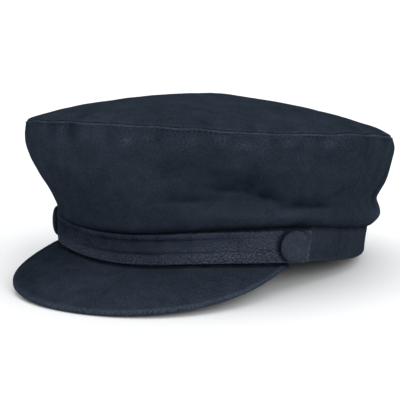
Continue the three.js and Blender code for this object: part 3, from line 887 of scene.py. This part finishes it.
def strapPiece():
    panel = flatPanel("strap_cloth", strapGrid["columns"], strapGrid["rows"])
    across, up, layer = (readPlaces(panel.data) * (1, 1, -1)).T
    across, up = across + 0.5, up + 0.5
    end = buttonPlace + strap["tail"]
    degrees = end * (2 * across - 1)
    foot = lowerEdge(degrees) + strap["lift"] - strap["hang"]
    height = foot + (strapTop(degrees) - foot) * up
    upper, lower = (smoothRead(creaseDepth, column, degrees) for column in ("upper", "lower"))
    proud = 1 - (1 - smoothRead(strapFace, "proud", up)) * np.where(up > 0.6, upper, lower)
    thick = strap["thick"] * proud
    outer = bandPoint(degrees, seamGap + thick, height)
    normal = bandFacing(degrees)
    fromSide = (0.5 - np.abs(across - 0.5)) * 2 * end * bandMmPerDegree
    fromFoot = height - foot
    fromTop = strapTop(degrees) - height
    edge = np.minimum(np.minimum(fromFoot, fromTop), fromSide)
    detail = strap["unevenness"] * cloud(outer, *lumps["strap"]) * easeIn(edge, 0.8, 4)
    points = roundedWall(outer, normal, layer, edge, thick, strap["roundEdge"], detail)
    cloth = np.stack([degrees * bandMmPerDegree, fromFoot], -1)
    wearAndPaintedLight = strapWearAndPaintedLight["top"] * bell(fromTop - 0.3, 0.7) + strapWearAndPaintedLight["foot"] * bell(fromFoot - 0.5, 0.8)
    wearAndPaintedLight += strapWearAndPaintedLight["ends"] * bell(fromSide - 0.3, 0.8)
    # painted shade on the upper part under the crown's overhang
    wearAndPaintedLight -= strapWearAndPaintedLight["upperPart"] * smoothRead(creaseDepth, "shade", degrees) * easeIn(up, 0.1, 0.75)
    # painted shade in the strap's two creases
    upperCrease = strapWearAndPaintedLight["upperCrease"] * upper * bell(up - 0.8, 0.04)
    wearAndPaintedLight -= upperCrease + strapWearAndPaintedLight["lowerCrease"] * lower * bell(up - 0.375, 0.035)
    # painted light on the lower middle towards the wearer's left
    wearAndPaintedLight += strapWearAndPaintedLight["lowerPart"] * bell(up - 0.3, 0.24) * easeIn(degrees, 5, 40)
    # painted shadow round each button, wider past it
    buttonHeight = foot + strap["hang"] + (strapTop(degrees) - foot - strap["hang"]) * button["rise"]
    fromButton = np.hypot((np.abs(degrees) - buttonPlace) * bandMmPerDegree, height - buttonHeight)
    pastButton = easeIn(np.abs(degrees), buttonPlace, buttonPlace + 3)
    shadeWide = strapWearAndPaintedLight["byButtonWide"] + strapWearAndPaintedLight["pastButtonWide"] * pastButton
    wearAndPaintedLight -= strapWearAndPaintedLight["byButton"] * bell(np.maximum(fromButton - button["diameter"] / 2, 0), shadeWide)
    # painted highlight on the tail's edge past the button
    wearAndPaintedLight += strapWearAndPaintedLight["tailEdge"] * pastButton * bell(fromSide, 0.5)
    # painted light along the top edge at the far end, which lessens the crevice's shade
    pale = bell(degrees - strapWearAndPaintedLight["palePlace"], strapWearAndPaintedLight["paleWide"])
    wearAndPaintedLight += strapWearAndPaintedLight["palePatch"] * pale * bell(fromTop, 2.5)
    layOn(panel, points, cloth, wearAndPaintedLight * (1 - layer))
    finishPiece(panel, strapCloth, "strap_twill", "strap")
    return panel


strapBand = strapPiece()

# Peak: twill drawn over a stiff board, its rim folded round
peak = {
    "length": 47.9,
    "thick": 3,
    "spread": 60.6,
    "slope": 26.4,
    "sideSlope": 6.8,
    "fan": 0.745,
    "camber": 1.2,
    "along": 2.64,
    "taper": 1.289,
    "rimPlace": 3.4,  # from the rim to the line where the fold ends
    "rimSink": 0.13,
    "rimSinkWide": 0.55,
    "rimSwell": 0.1,
    "rootSink": 0.5,
    "unevenness": 0.12,
    "rimWearAndHighlight": 0.5,
    "foldWear": 0.12,
    "rootShade": 0.6,
    "sideShade": 0.42,  # painted shade on the wearer's right
    "bunch": 1.15,  # brings the columns closer at the ends
    "columns": 240,
    "rows": 70,
}


def peakSurface(share, down):  # middle of its thickness, from the root at 0 to the rim at 1
    degrees = share * peak["spread"]
    x, y, nx, ny = ovalAt(degrees)
    turn = np.arctan2(nx, -ny) * peak["fan"]
    full = (1 - np.abs(share) ** peak["along"]) ** peak["taper"]
    length = peak["length"] * full
    slope = np.radians(peak["slope"] + peak["sideSlope"] * share * share)
    edge = lowerEdge(degrees)
    half = peak["thick"] / 2
    rootOut = seamGap - headBand["wall"]
    root = np.stack([x + nx * rootOut, y + ny * rootOut, edge - seamGap - half + 0 * x], -1)
    ahead = length * np.cos(slope)
    rimZ = edge - length * np.sin(slope) - (seamGap + half) * (1 - full)
    rim = np.stack([x + np.sin(turn) * ahead, y - np.cos(turn) * ahead, rimZ], -1)
    point = root + (rim - root) * down[:, None]
    point[:, 2] += 4 * peak["camber"] * full * down * (1 - down)
    return point, np.linalg.norm(rim - root, axis=1)


def peakPiece():
    panel = flatPanel("peak_board", peak["columns"], peak["rows"])
    across, up, layer = (readPlaces(panel.data) * (1, 1, -1)).T
    across, down = across + 0.5, 0.5 - up
    share = np.sign(across - 0.5) * (1 - (1 - np.abs(2 * across - 1)) ** peak["bunch"])
    middle, reach = peakSurface(share, down)
    inside = np.clip(share, -0.995, 0.995)
    normal = -normalsOf(lambda a, b: peakSurface(a, b)[0], inside, down, 0.002, 0.003)
    fromRim = (1 - down) * reach
    half = peak["thick"] / 2
    full = np.sqrt(1 - (1 - np.clip(fromRim / half, 0, 1)) ** 2)
    fold = -peak["rimSink"] * bell(fromRim - peak["rimPlace"], peak["rimSinkWide"])
    fold += peak["rimSwell"] * bell(fromRim - 1.9, 1.2)
    fromRoot = down * reach
    uneven = peak["unevenness"] * cloud(middle, *lumps["peak"]) * easeIn(fromRim, 4, 12)
    detail = (fold + uneven) * easeIn(reach, 3, 10)
    detail -= peak["rootSink"] * bell(fromRoot - 3.0, 1.2) * (1 - layer) * easeIn(fromRim, 1, 4)
    side = 1 - 2 * layer
    points = middle + normal * (side * (half * full + detail * full))[:, None]
    cloth = np.stack([middle[:, 0], middle[:, 1]], -1)
    # the rim is lighter: worn fold and painted highlight; the fold line is lighter from wear
    rubbedAndLit = peak["rimWearAndHighlight"] * bell(fromRim - 0.7, 1.1) + peak["foldWear"] * bell(fromRim - 2.2, 1)
    wearAndPaintedLight = rubbedAndLit * easeIn(reach, 3, 8)
    # painted shade at the root under the strap and on the wearer's right
    shaded = peak["rootShade"] * bell(np.maximum(fromRoot - 3, 0), 0.9) * (1 - layer)
    wearAndPaintedLight -= shaded + peak["sideShade"] * easeIn(-share, 0.0, 0.6)
    layOn(panel, points, cloth, wearAndPaintedLight)
    finishPiece(panel, peakCloth, "peak_twill", "peak")


peakPiece()

# Covered buttons: a domed shell with the cloth drawn round its edge
buttons = [
    {"name": "button_left", "side": 1, "turn": 8},
    {"name": "button_right", "side": -1, "turn": 0},
]


def buttonPiece(row):
    deselect()
    bpy.ops.mesh.primitive_uv_sphere_add(segments=button["sides"], ring_count=button["rings"], radius=1)
    dome = bpy.context.object
    dome.name = row["name"] + "_dome"
    dome.data.name = dome.name
    x, y, z = readPlaces(dome.data).T
    radius, skirt = button["diameter"] / 2, button["depth"] * button["skirt"]
    around = np.arctan2(y, x)
    front = z > 0
    flatBack = np.clip(-z, 0, 1)
    wide = np.hypot(x, y)
    spread = np.where(front, wide, np.where(flatBack > 0.5, wide * button["back"] / 0.866, 1))
    narrowing = 1 - (1 - button["back"]) * easeIn(flatBack, 0, 0.5)
    spread = np.where(front, wide, np.minimum(spread, narrowing)) * radius
    height = np.where(front, skirt + (button["depth"] - skirt) * z, skirt * (1 - easeIn(flatBack, -0.1, 0.5)))
    pleats = button["pleatDepth"] * np.cos(button["pleats"] * around + 0.8 * np.sin(3 * around))
    spread = spread + pleats * bell(z + 0.15, 0.3) * (spread > 0.5 * radius)
    local = np.stack([spread * np.cos(around), spread * np.sin(around), height], -1)
    degrees = np.array([row["side"] * buttonPlace])
    foot = lowerEdge(degrees) + strap["lift"]
    middle = foot + (strapTop(degrees) - foot) * button["rise"]
    nx, ny = (n[0] for n in ovalAt(degrees)[2:])
    flare, turn = math.radians(headBand["flare"]), math.radians(-row["side"] * row["turn"])
    straight = Vector((nx * math.cos(flare), ny * math.cos(flare), -math.sin(flare)))
    facing = Matrix.Rotation(turn, 3, "Z") @ straight
    level = Vector((0, 0, 1)).cross(facing).normalized()
    axes = np.array([level, facing.cross(level), facing])
    standOff = strap["thick"] + 2 * seamGap + radius * button["back"] * math.sin(math.radians(row["turn"]))
    centre = bandPoint(degrees, 0, middle)[0] + np.array(straight) * standOff
    layOn(dome, centre + local @ axes, local[:, :2].copy(), np.zeros(len(local)))
    finishPiece(dome, buttonCloth, "button_cloth", row["name"])


for row in buttons:
    buttonPiece(row)

# Sewing: rows of small thread stitches
stitch = {
    "long": 1.9,
    "gap": 0.9,
    "thick": 0.32,
    "sides": 8,
    "rings": 5,
    "proudOfCrown": 0.06,  # its middle over the bottom of the groove it lies in
    "proudOfBand": 0.08,
    "bandStart": 72,  # degrees from the front, past the buttons
}


def sewRow(name, surface, fromDegrees, toDegrees, material, mmPerDegree):
    count = round((toDegrees - fromDegrees) * mmPerDegree / (stitch["long"] + stitch["gap"]))
    places = fromDegrees + (toDegrees - fromDegrees) * (np.arange(count) + 0.5) / count
    points, normals = surface(places)
    ahead = surface(places + 0.2)[0] - points
    deselect()
    bpy.ops.mesh.primitive_uv_sphere_add(segments=stitch["sides"], ring_count=stitch["rings"], radius=1)
    model = bpy.context.object
    model.data.transform(Matrix.Diagonal((stitch["long"] / 2, stitch["thick"] / 2, stitch["thick"] / 2, 1)))
    threads = []
    for point, normal, along in zip(points, normals, ahead):
        thread = model.copy()
        thread.data = model.data.copy()
        bpy.context.collection.objects.link(thread)
        along, out = Vector(along).normalized(), Vector(normal)
        turn = Matrix((along, out.cross(along), out)).transposed().to_4x4()
        thread.data.transform(Matrix.Translation(point) @ turn)
        threads.append(thread)
    bpy.data.objects.remove(model)
    deselect()
    for thread in threads:
        thread.select_set(True)
    bpy.context.view_layer.objects.active = threads[0]
    bpy.ops.object.join()
    row = bpy.context.object
    row.name = name
    local = readPlaces(row.data)
    layOn(row, local, local[:, :2].copy(), np.zeros(len(local)))
    finishPiece(row, material, "crown_twill")
    return row


def topSeamStitches(degrees):
    at = wrapped(degrees)
    height = seamAt(at)[2] - hemHeight(at)
    up = 1 - crown["stitchPlace"] / height
    points = crownWall(at, up)
    normal = normalsOf(crownWall, at, up, 0.2, 0.003)
    return points - normal * (crown["stitchSink"] - stitch["proudOfCrown"]), normal


def bandStitches(degrees):
    at = wrapped(degrees)
    foot = lowerEdge(at)
    foot = np.maximum(foot, tableHeight(bandPoint(at, 0, foot)[:, 1])) + headBand["stitchUp"]
    nx, ny = ovalAt(at)[2:]
    normal = np.stack([nx, ny, 0 * nx], -1)
    return bandPoint(at, -headBand["stitchSink"] + stitch["proudOfBand"], foot), normal


bandStart = stitch["bandStart"]
crownThread = twillMaterial("crown_thread", deep=(0.016, 0.021, 0.031), lightNavy=(0.05, 0.06, 0.08), seed=6)
crownStitches = sewRow("crown_stitches", topSeamStitches, -180, 180, crownThread, seamMmPerDegree)
bandStitchRow = sewRow("band_stitches", bandStitches, bandStart, 360 - bandStart, crownThread,
                       bandMmPerDegree)
